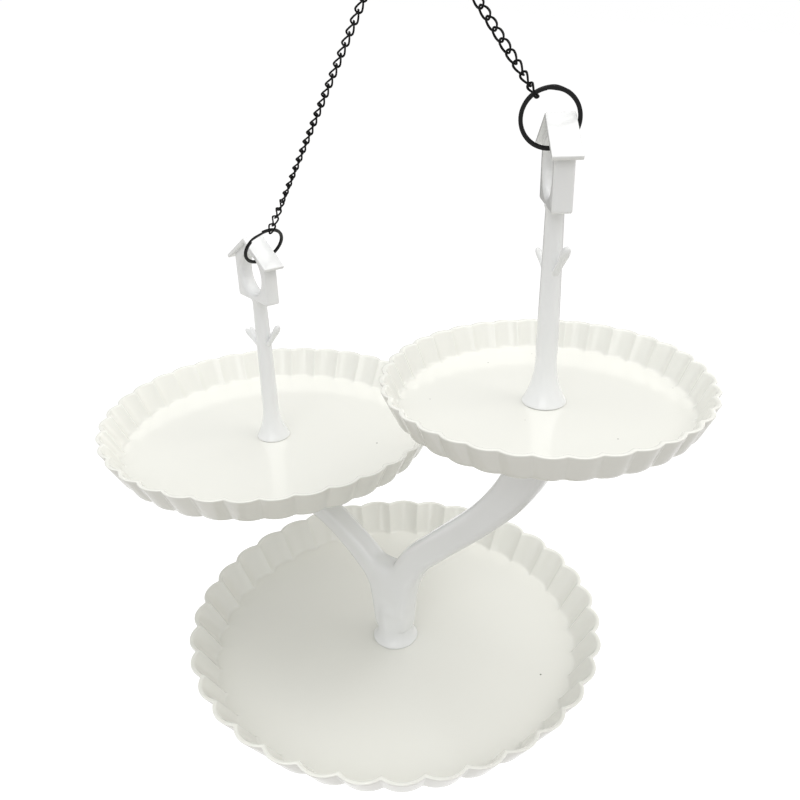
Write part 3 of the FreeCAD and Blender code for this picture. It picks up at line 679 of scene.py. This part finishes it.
ring_frames = {"left": ring_axes(80.7, -32.8), "right": ring_axes(30.7, -6.4)}
door_angles = {"left": -90.0, "right": -70.0}
chain_angles = {"left": 83.0, "right": 124.7}
doors = {"left": door_point("left", 255.0, 30.0, 2.0), "right": door_point("right", 216.0, 0.0, 3.2)}
ring_centres, holds = {}, {}
for side, pair in ring_frames.items():
    ring_centres[side] = doors[side] - on_ring(pair, door_angles[side]) * RING["radius"]
    holds[side] = ring_centres[side] + on_ring(pair, chain_angles[side]) * RING["radius"]
to_left, to_right = ((holds[side] - APEX).normalized() for side in ("left", "right"))
face = to_left.cross(to_right).normalized()
top_up = (PLUMB - face * PLUMB.dot(face)).normalized()
ring_frames["top"] = (-face.cross(top_up), top_up)
ring_centres["top"] = APEX
print("the chains hold the rings at", [[round(v, 1) for v in hold] for hold in holds.values()])

# %% [markdown]
# ## The split rings
# A split ring is a flat wire wound twice. Near its ends, one turn steps over the other,
# which makes the knuckle that shows on each ring. A torus would miss it, so a small
# section is carried twice round and shifted sideways at the crossing.

# %% Split rings


def axes_matrix(x_axis, z_axis, base):
    """A matrix whose X follows x_axis and whose Z lies as near z_axis as it can."""
    along = x_axis.normalized()
    square = z_axis.cross(along).normalized()
    up = along.cross(square)
    matrix = Matrix.Identity(4)
    for column, axis in enumerate((along, square, up)):
        matrix.col[column][:3] = axis
    return Matrix.Translation(base) @ matrix


def ring_rows():
    """Sections of flat wire, carried nearly twice round."""
    rows = []
    end = 720 - RING["crossing"] - RING["opening"]
    for angle in np.linspace(0, end, 260):
        part = min(max((angle - (360 - RING["crossing"])) / RING["crossing"], 0), 1)
        aside = RING["offset"] * (-1 + 2 * (3 * part**2 - 2 * part**3))
        around = math.radians(angle)
        row = []
        middle = 360 - RING["crossing"] / 2
        swell = 1 + 0.22 * math.exp(-(((angle - middle + 180) % 360 - 180) / 11) ** 2)
        for turn_angle in np.linspace(0, 2 * math.pi, 12, endpoint=False):
            c, s = math.cos(turn_angle), math.sin(turn_angle)
            out = WIRE_SHARE * RING["wire"] * swell * math.copysign(abs(c) ** 0.9, c)
            over = RING["coil"] * math.copysign(abs(s) ** 0.9, s)
            radius = RING["radius"] + out
            row.append((radius * math.cos(around), aside + over, radius * math.sin(around)))
        rows.append(row)
    return rows


rings = {}
split_angles = {"left": -150.0, "right": -100.0, "top": -60.0}
for side, (level, up) in ring_frames.items():
    mesh = bmesh.new()
    add_skin(mesh, ring_rows(), caps=True)
    spin = Matrix.Rotation(math.radians(split_angles[side]), 4, "Y")
    place = hang @ axes_matrix(level, up, ring_centres[side]) @ spin
    rings[side] = finished(f"{side}_ring_skin", mesh, place, 50)
    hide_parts(f"{side}_ring")
    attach(rings[side], "ring" if side == "top" else "hanger")
    print(side, "ring at", [round(v, 4) for v in hang @ ring_centres[side]])

# %% [markdown]
# ## The chains
# Every link is the same oval of wire, twisted by a quarter turn over its length. The
# twist lets the links lie in one line, each passing through the next at a right angle. An
# array along a curve would turn all links alike, while here each chain also unwinds slowly
# from its lower ring to the top one.

# %% One twisted link
LINK = {"pitch": 6.35, "wire": 0.6, "width": 5.2, "gap": 0.22, "seat": 0.6}


def link_path(steps=9):
    """The middle line of a flat link, as (along, across)."""
    bend = LINK["width"] / 2 - LINK["wire"]
    straight = (LINK["pitch"] + LINK["gap"]) / 2 + LINK["wire"] - bend
    path = []
    for facing in (1, -1):
        for angle in np.linspace(-90, 90, steps):
            a = math.radians(angle)
            path.append((facing * (straight + bend * math.cos(a)), facing * bend * math.sin(a)))
        for part in (0.33, 0.67):
            path.append((facing * straight * (1 - 2 * part), facing * bend))
    return path


def link_rows(count=10):
    """Sections of wire round the link, twisted about its length."""
    path = link_path()

    def twisted(along, across, over):
        angle = math.radians(90 * along / LINK["pitch"])
        return (along, across * math.cos(angle) - over * math.sin(angle),
                across * math.sin(angle) + over * math.cos(angle))

    rows = []
    for index, (along, across) in enumerate(path):
        before, after = path[index - 1], path[(index + 1) % len(path)]
        run, rise = after[0] - before[0], after[1] - before[1]
        length = math.hypot(run, rise)
        row = []
        for angle in np.linspace(0, 2 * math.pi, count, endpoint=False):
            out, over = LINK["wire"] * math.cos(angle), LINK["wire"] * math.sin(angle)
            row.append(twisted(along + out * rise / length, across - out * run / length, over))
        rows.append(row)
    return rows


print("a link is", round(LINK["pitch"] + LINK["gap"] + 4 * LINK["wire"], 2), "mm long")

# %% Both chains
LINKS = {"left": 32, "right": 17}
CHAIN_ROLL = {"left": -72.0, "right": 70.0}
ROLL_LINKS = 4
END_PLAY = RING["wire"] + LINK["seat"]
links = []
for side in ("left", "right"):
    line = (APEX - holds[side]).normalized()
    low_tangent = on_ring(ring_frames[side], chain_angles[side] + 90)
    top_tangent = ring_frames["top"][0].cross(ring_frames["top"][1]).cross(line)
    low_plane = line.cross(low_tangent).normalized()
    top_plane = line.cross(top_tangent).normalized()
    square = line.cross(low_plane)
    swing = math.degrees(math.atan2(top_plane.dot(square), top_plane.dot(low_plane)))
    first_roll = 45 - 90 * END_PLAY / LINK["pitch"]
    settled = CHAIN_ROLL[side]
    last_turn = settled + (swing - 2 * first_roll - settled + 90) % 180 - 90
    base = Matrix.Identity(4)
    for column, axis in enumerate((line, low_plane, square)):
        base.col[column][:3] = axis
    for index in range(LINKS[side]):
        middle = holds[side] + line * (LINK["pitch"] * (index + 0.5) - END_PLAY)
        low_share = min(index / ROLL_LINKS, 1)
        top_share = max(index - ROLL_LINKS, 0) / (LINKS[side] - 1 - ROLL_LINKS)
        roll = first_roll + settled * low_share + (last_turn - settled) * top_share
        place = Matrix.Translation(middle) @ base @ Matrix.Rotation(math.radians(roll), 4, "X")
        mesh = bmesh.new()
        add_skin(mesh, link_rows(), wrap_rows=True)
        link = finished(f"{side}_chain_{index + 1:02d}", mesh, hang @ place, 60)
        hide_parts(f"{side}_link_{index + 1:02d}")
        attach(link, "hanger")
        links.append(link)
    print(side, "chain", LINKS[side], "links, turned", round(last_turn, 1), "degrees along its length")

# %% [markdown]
# ## The base screw
# One screw goes up through the hub of the bottom tray into the trunk. Its head hides in
# the hub's recess and shows only from below. The cross slot could be cut with a boolean.
# Here the last outline is a cross, sunk below the head's crown.

# %% Base screw


def turned_rows(profile, count):
    """Level circles about the Z axis, one for each (radius, height)."""
    angles = np.linspace(0, 2 * math.pi, count, endpoint=False)
    return [[(radius * math.cos(a), radius * math.sin(a), height) for a in angles]
            for radius, height in profile]


mesh = bmesh.new()
head = [(2.5, 20.0 - 0.02), (2.5, 0.02), (6.8, 0.0), (7.0, -0.4), (6.9, -0.9), (5.6, -1.75), (3.6, -2.5),
        (2.2, -2.8)]
rows = turned_rows(head, 48)
slot_floor = []
for angle in np.linspace(0, 2 * math.pi, 48, endpoint=False):
    radius = 0.5 + 1.6 * abs(math.cos(2 * angle)) ** 3
    slot_floor.append((radius * math.cos(angle), radius * math.sin(angle), -1.4))
add_skin(mesh, [*rows, slot_floor], caps=True)
screw = finished("base_screw_skin", mesh, in_stand(0, 0, HUB_HEIGHT), 30)
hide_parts("base_screw")
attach(screw, "stand")
print("screw", len(screw.data.polygons), "faces")

# %% [markdown]
# ## Surface detail
# No moulded or painted surface is even: its colour drifts slowly, its gloss varies, the
# mould leaves faint ripples, and the paint and the steel wear lighter on edges. On the white
# plastic the lighter edges are a painted highlight. Image textures could show this. Noise in
# a node group does it without a seam, and every material uses the same group with its own values.

# %% Shared surface detail


def surface_group():
    """A node group: slow colour drift, uneven gloss, slight ripples, and lighter edges that are wear on paint
    and steel and a painted highlight on white plastic.
    """
    group = bpy.data.node_groups.new("surface_detail", "ShaderNodeTree")
    face = group.interface
    for name, kind in (("Color", "NodeSocketColor"), ("Second Color", "NodeSocketColor"),
                       ("Scale", "NodeSocketFloat"), ("Gloss Low", "NodeSocketFloat"),
                       ("Gloss High", "NodeSocketFloat"), ("Ripple", "NodeSocketFloat"),
                       ("Edge Color", "NodeSocketColor"), ("Edge", "NodeSocketFloat")):
        face.new_socket(name=name, in_out="INPUT", socket_type=kind)
    for name, kind in (("Color", "NodeSocketColor"), ("Roughness", "NodeSocketFloat"),
                       ("Normal", "NodeSocketVector")):
        face.new_socket(name=name, in_out="OUTPUT", socket_type=kind)
    nodes, wires = group.nodes, group.links
    given = nodes.new("NodeGroupInput")
    result = nodes.new("NodeGroupOutput")
    place = nodes.new("ShaderNodeTexCoord")
    slow = nodes.new("ShaderNodeTexNoise")
    slow.inputs["Detail"].default_value = 3.0
    fine = nodes.new("ShaderNodeTexNoise")
    fine.inputs["Detail"].default_value = 5.0
    finer = nodes.new("ShaderNodeMath")
    finer.operation = "MULTIPLY"
    finer.inputs[1].default_value = 9.0
    drift = nodes.new("ShaderNodeMix")
    drift.data_type = "RGBA"
    edge_wear_and_highlight = nodes.new("ShaderNodeMix")
    edge_wear_and_highlight.data_type = "RGBA"
    gloss = nodes.new("ShaderNodeMapRange")
    bump = nodes.new("ShaderNodeBump")
    bump.inputs["Distance"].default_value = 0.0006
    shape = nodes.new("ShaderNodeNewGeometry")
    # Pointiness picks out sharp edges for a lighter colour: wear on the black paint and the steel, a painted
    # highlight on the white plastic.
    edge = nodes.new("ShaderNodeMapRange")
    edge.inputs["From Min"].default_value = 0.52
    edge.inputs["From Max"].default_value = 0.6
    edge_share = nodes.new("ShaderNodeMath")
    edge_share.operation = "MULTIPLY"
    joins = [
        (place, "Object", slow, "Vector"), (place, "Object", fine, "Vector"),
        (given, "Scale", slow, "Scale"), (given, "Scale", finer, 0), (finer, 0, fine, "Scale"),
        (slow, "Fac", drift, "Factor"), (given, "Color", drift, "A"), (given, "Second Color", drift, "B"),
        (shape, "Pointiness", edge, "Value"), (edge, "Result", edge_share, 0),
        (given, "Edge", edge_share, 1), (edge_share, 0, edge_wear_and_highlight, "Factor"), (drift, "Result", edge_wear_and_highlight, "A"),
        (given, "Edge Color", edge_wear_and_highlight, "B"), (fine, "Fac", gloss, "Value"),
        (given, "Gloss Low", gloss, "To Min"), (given, "Gloss High", gloss, "To Max"),
        (slow, "Fac", bump, "Height"), (given, "Ripple", bump, "Strength"),
        (edge_wear_and_highlight, "Result", result, "Color"), (gloss, "Result", result, "Roughness"),
        (bump, "Normal", result, "Normal"),
    ]
    for source, out, target, into in joins:
        wires.new(source.outputs[out], target.inputs[into])
    return group


detail = surface_group()
print("surface_detail has", len(detail.nodes), "nodes")

# %% Making and giving a material


def make_material(name, color, second, scale, gloss, ripple, edge_color, edge, **settings):
    """The shared detail feeds the shader; the settings go on the shader's own sockets."""
    material = bpy.data.materials.new(name)
    material.use_nodes = True
    nodes, wires = material.node_tree.nodes, material.node_tree.links
    shader = nodes["Principled BSDF"]
    group = nodes.new("ShaderNodeGroup")
    group.node_tree = detail
    values = {"Color": (*color, 1), "Second Color": (*second, 1), "Scale": scale, "Gloss Low": gloss[0],
              "Gloss High": gloss[1], "Ripple": ripple, "Edge Color": (*edge_color, 1), "Edge": edge}
    for socket, value in values.items():
        group.inputs[socket].default_value = value
    wires.new(group.outputs["Color"], shader.inputs["Base Color"])
    wires.new(group.outputs["Roughness"], shader.inputs["Roughness"])
    wires.new(group.outputs["Normal"], shader.inputs["Normal"])
    for key, value in settings.items():
        shader.inputs[key.replace("_", " ")].default_value = value
    return material


def coat(piece, material):
    """The piece gets one material."""
    piece.data.materials.clear()
    piece.data.materials.append(material)


print("materials share the group", detail.name)

# %% [markdown]
# ## Specks
# Seed husks and dust leave a few tiny dark specks on the tray floors. They could be
# painted. Here each one is a distance from a point, made uneven by noise, that darkens the
# base colour.

# %% Specks on the trays


def add_specks(material, spots):
    """Small dark specks: each is a place in the scene, a radius in metres and a strength."""
    nodes, wires = material.node_tree.nodes, material.node_tree.links
    shader = nodes["Principled BSDF"]
    colour = shader.inputs["Base Color"].links[0].from_socket
    where = nodes.new("ShaderNodeTexCoord")
    wobble = nodes.new("ShaderNodeTexNoise")
    wobble.inputs["Scale"].default_value = 900
    wires.new(where.outputs["Object"], wobble.inputs["Vector"])
    for spot, radius, strength in spots:
        away = nodes.new("ShaderNodeVectorMath")
        away.operation = "DISTANCE"
        away.inputs[1].default_value = spot
        rough = nodes.new("ShaderNodeMath")
        rough.operation = "MULTIPLY_ADD"
        rough.inputs[1].default_value = radius
        shape = nodes.new("ShaderNodeMapRange")
        shape.inputs["From Min"].default_value = 1.6 * radius
        shape.inputs["From Max"].default_value = 1.1 * radius
        shape.inputs["To Max"].default_value = strength
        mix = nodes.new("ShaderNodeMix")
        mix.data_type = "RGBA"
        mix.inputs["B"].default_value = (0.05, 0.045, 0.04, 1)
        wires.new(where.outputs["Object"], away.inputs[0])
        wires.new(wobble.outputs["Fac"], rough.inputs[0])
        wires.new(away.outputs["Value"], rough.inputs[2])
        wires.new(rough.outputs[0], shape.inputs["Value"])
        wires.new(shape.outputs["Result"], mix.inputs["Factor"])
        wires.new(colour, mix.inputs["A"])
        colour = mix.outputs["Result"]
    wires.new(colour, shader.inputs["Base Color"])


# Each speck: X and Y from the tray's middle and radius, all in millimetres, and strength
SPECKS = {
    "bottom": [(108.8, 26.3, 0.7, 0.9)],
    "left": [(73.1, 33.9, 0.65, 0.85)],
    "right": [(-54.5, -32.7, 0.5, 0.5), (-54.1, 30.3, 0.55, 0.55), (-38.3, 57.8, 0.45, 0.35),
              (2.4, -26.0, 0.4, 0.3), (51.3, -18.6, 0.5, 0.6), (53.1, 55.9, 0.45, 0.4)],
}
print(sum(len(spots) for spots in SPECKS.values()), "specks")

# %% [markdown]
# ## Finishes
# The trays are a glossy, slightly warm white plastic, and the branch and posts a cooler
# white one. The rings and chains are coated in black gloss paint, and the screw is plain
# zinc-plated steel. Five separate node trees could do this. One table of values for the
# same group is shorter, and keeps the finishes comparable.

# %% The finishes
FINISHES = {
    "tray_plastic": {
        "color": (0.84, 0.84, 0.795), "second": (0.82, 0.825, 0.78), "scale": 14, "gloss": (0.10, 0.16),
        "ripple": 0.10, "edge_color": (0.93, 0.93, 0.91), "edge": 0.0},
    # The lighter edge colour of this plastic is a painted highlight on the edges of the branch and posts.
    "stand_plastic": {
        "color": (0.84, 0.85, 0.85), "second": (0.82, 0.83, 0.835), "scale": 30, "gloss": (0.12, 0.2),
        "ripple": 0.12, "edge_color": (0.93, 0.93, 0.92), "edge": 0.5},
    "ring_black": {
        "color": (0.004, 0.004, 0.0045), "second": (0.007, 0.007, 0.0075), "scale": 300, "gloss": (0.22, 0.34),
        "ripple": 0.3, "edge_color": (0.03, 0.03, 0.032), "edge": 0.3, "Specular_IOR_Level": 0.2},
    "chain_black": {
        "color": (0.003, 0.003, 0.0035), "second": (0.006, 0.006, 0.0065), "scale": 400, "gloss": (0.25, 0.4),
        "ripple": 0.3, "edge_color": (0.03, 0.03, 0.03), "edge": 0.3, "Specular_IOR_Level": 0.08},
    "screw_steel": {
        "color": (0.62, 0.62, 0.63), "second": (0.5, 0.5, 0.5), "scale": 400, "gloss": (0.25, 0.42),
        "ripple": 0.4, "edge_color": (0.8, 0.8, 0.8), "edge": 0.5, "Metallic": 1.0},
}
for side, tray in trays.items():
    plastic = make_material(f"{side}_tray_plastic", **FINISHES["tray_plastic"])
    spots = [(hang @ Vector((PLACES[side] + x, y, LEVELS[side] + FLOOR)), radius / 1000, strength)
             for x, y, radius, strength in SPECKS[side]]
    add_specks(plastic, spots)
    coat(tray, plastic)
coated = {"stand_plastic": [branch, *posts.values()], "ring_black": rings.values(), "chain_black": links,
          "screw_steel": [screw]}
for name, pieces in coated.items():
    material = make_material(name, **FINISHES[name])
    for piece in pieces:
        coat(piece, material)
print(len(bpy.data.materials), "materials")

# %% [markdown]
# ## Light and background
# The feeder hangs before plain white. A bright backdrop would spill light on it, so the
# world shows white paper only to the camera, to gloss and to clear surfaces, while the
# plastic is lit by a soft room that is dimmer and warmer below.

# %% The room


def ray_share(tree, kinds=("Is Camera Ray", "Is Glossy Ray", "Is Transmission Ray")):
    """A value that is 1 for these kinds of ray and 0 for all others."""
    path = tree.nodes.new("ShaderNodeLightPath")
    share = path.outputs[kinds[0]]
    for kind in kinds[1:]:
        either = tree.nodes.new("ShaderNodeMath")
        either.operation = "MAXIMUM"
        tree.links.new(share, either.inputs[0])
        tree.links.new(path.outputs[kind], either.inputs[1])
        share = either.outputs[0]
    return share


world = bpy.data.worlds.new("studio")
scene.world = world
world.use_nodes = True
nodes, wires = world.node_tree.nodes, world.node_tree.links
nodes.clear()
room = nodes.new("ShaderNodeBackground")
room.inputs["Strength"].default_value = 0.8
paper = nodes.new("ShaderNodeBackground")
paper.inputs["Color"].default_value = (1, 1, 1, 1)
paper.inputs["Strength"].default_value = 1.0
place = nodes.new("ShaderNodeTexCoord")
apart = nodes.new("ShaderNodeSeparateXYZ")
lift = nodes.new("ShaderNodeMapRange")
lift.inputs["From Min"].default_value = -1.0
lift.inputs["From Max"].default_value = 1.0
ramp = nodes.new("ShaderNodeValToRGB")
below, above = ramp.color_ramp.elements
below.position, below.color = 0.25, (0.57, 0.545, 0.5, 1)
above.position, above.color = 0.85, (1.0, 1.0, 1.0, 1)
wires.new(place.outputs["Generated"], apart.inputs["Vector"])
wires.new(apart.outputs["Z"], lift.inputs["Value"])
wires.new(lift.outputs["Result"], ramp.inputs["Fac"])
wires.new(ramp.outputs["Color"], room.inputs["Color"])
mixed = nodes.new("ShaderNodeMixShader")
wires.new(ray_share(world.node_tree), mixed.inputs["Fac"])
wires.new(room.outputs["Background"], mixed.inputs[1])
wires.new(paper.outputs["Background"], mixed.inputs[2])
wires.new(mixed.outputs["Shader"], nodes.new("ShaderNodeOutputWorld").inputs["Surface"])
print("the world is white paper and a soft room of strength", room.inputs["Strength"].default_value)

# %% [markdown]
# ## Lamps
# Four large, weak lamps give the trays their soft gradients: one overhead, one at the
# right, one high in front, and one low behind that reaches under the upper trays. Small
# lamps would throw hard shadows that the photograph doesn't have.

# %% Lamps
TARGET = hang @ Vector((0, 0, 150))
LEVEL_BACK = Vector((view["back"].x, view["back"].y, 0)).normalized()
LEVEL_RIGHT = Vector((view["right"].x, view["right"].y, 0)).normalized()


def softbox(name, offset, size, power, color):
    """A square lamp at an offset from the feeder, in the camera's own directions."""
    data = bpy.data.lights.new(name, "AREA")
    data.shape = "RECTANGLE"
    data.size, data.size_y = size
    data.energy = power
    data.color = color
    lamp = bpy.data.objects.new(name, data)
    scene.collection.objects.link(lamp)
    spot = TARGET + LEVEL_RIGHT * offset[0] + LEVEL_BACK * offset[1] + Vector((0, 0, offset[2]))
    lamp.location = spot
    lamp.rotation_euler = (TARGET - spot).to_track_quat("-Z", "Y").to_euler()
    lamp.visible_camera = False
    return lamp


softbox("overhead", (-0.2, -0.3, 1.6), (1.6, 1.2), 8.7, (1.0, 0.995, 0.98))
softbox("right_window", (1.3, 0.3, 2.0), (1.2, 1.2), 9, (1.0, 0.97, 0.90))
softbox("front_high", (-0.5, 1.7, 1.2), (1.2, 1.0), 6.5, (0.985, 0.99, 1.0))
softbox("back_low", (1.1, -1.3, 0.3), (0.9, 0.9), 4, (1.0, 0.99, 0.95))

# %% [markdown]
# ## A card in the gloss
# Shiny white plastic before white paper loses its form. A darker world would grey all of
# it. A grey card gives it something to reflect on one side. Glossy rays alone see this
# one, so it neither lights the feeder nor shades it.

# %% The grey card


def card(name, across, back, low, high, shade):
    """A grey card beyond the feeder that only shiny surfaces see."""
    mesh = bmesh.new()
    corners = [(-across, low), (across, low), (across, high), (-across, high)]
    made = [mesh.verts.new(TARGET + LEVEL_RIGHT * x - LEVEL_BACK * back + Vector((0, 0, z)))
            for x, z in corners]
    mesh.faces.new(made)
    data = bpy.data.meshes.new(name)
    mesh.to_mesh(data)
    mesh.free()
    piece = bpy.data.objects.new(name, data)
    scene.collection.objects.link(piece)
    material = bpy.data.materials.new(name)
    material.use_nodes = True
    material.node_tree.nodes.clear()
    glow = material.node_tree.nodes.new("ShaderNodeEmission")
    glow.inputs["Color"].default_value = (*shade, 1)
    end = material.node_tree.nodes.new("ShaderNodeOutputMaterial")
    material.node_tree.links.new(glow.outputs["Emission"], end.inputs["Surface"])
    data.materials.append(material)
    piece.visible_camera = False
    piece.visible_diffuse = False
    piece.visible_shadow = False
    piece.visible_transmission = False
    return piece


card("grey_card", 3.0, 1.6, -2.6, 2.6, (0.2, 0.2, 0.195))
print("a grey card stands behind the feeder")

# %% [markdown]
# ## The floor
# A pale floor lies well below the feeder and keeps its soft shadow. It gets part of its
# white from its own glow, for camera and glossy rays alone, so that it meets the paper
# without a horizon and puts no extra light on the plastic.

# %% The floor
FLOOR_LEVEL = -1.0
FLOOR_GLOW = 0.64
mesh = bmesh.new()
bmesh.ops.create_grid(mesh, x_segments=1, y_segments=1, size=20.0)
bmesh.ops.translate(mesh, verts=mesh.verts, vec=(0, 0, FLOOR_LEVEL))
floor = finished("floor", mesh, Matrix.Identity(4))
floor.visible_diffuse = False
floor_paper = bpy.data.materials.new("floor_paper")
floor_paper.use_nodes = True
shader = floor_paper.node_tree.nodes["Principled BSDF"]
shader.inputs["Base Color"].default_value = (0.5, 0.5, 0.5, 1)
shader.inputs["Roughness"].default_value = 0.9
shader.inputs["Specular IOR Level"].default_value = 0.0
shader.inputs["Emission Color"].default_value = (1, 1, 1, 1)
glow = floor_paper.node_tree.nodes.new("ShaderNodeMath")
glow.operation = "MULTIPLY"
glow.inputs[1].default_value = FLOOR_GLOW
floor_paper.node_tree.links.new(ray_share(floor_paper.node_tree), glow.inputs[0])
floor_paper.node_tree.links.new(glow.outputs[0], shader.inputs["Emission Strength"])
coat(floor, floor_paper)

scene.view_settings.view_transform = "Standard"
print("floor", -FLOOR_LEVEL, "metres under the hook")
